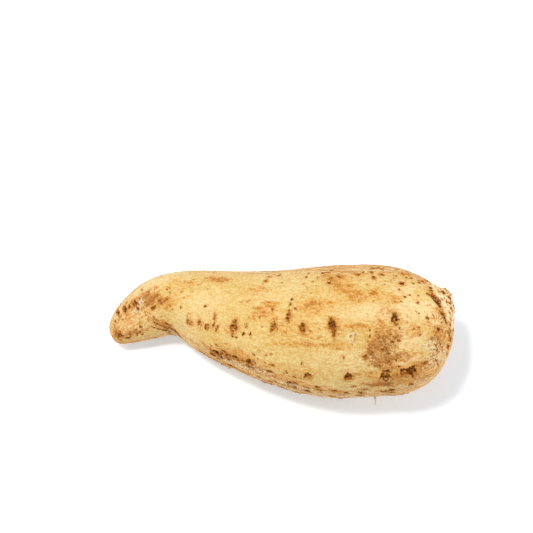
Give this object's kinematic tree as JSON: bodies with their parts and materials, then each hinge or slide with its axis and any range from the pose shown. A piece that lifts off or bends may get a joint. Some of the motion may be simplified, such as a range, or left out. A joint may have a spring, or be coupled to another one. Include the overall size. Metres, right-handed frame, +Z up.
{
  "type": "white sweet potato",
  "caption": "Whole raw white-skinned sweet potato, thick at the torn stem end and tapering to a blunt hooked tail, lying on its side.",
  "frame": {"origin": "under the middle of the root's bounding box, on the surface that it rests on", "axes": "+X from the hooked tail to the torn stem end, +Y to the side away from the tail's hook, +Z up"},
  "size_m": [0.18, 0.0712, 0.0639],
  "materials": {
    "skin": "pale yellow satin skin with ochre stains, brown root scars and corky patches"
  },
  "bodies": {
    "root": {"sweet_potato": "skin"}
  },
  "joints": []
}
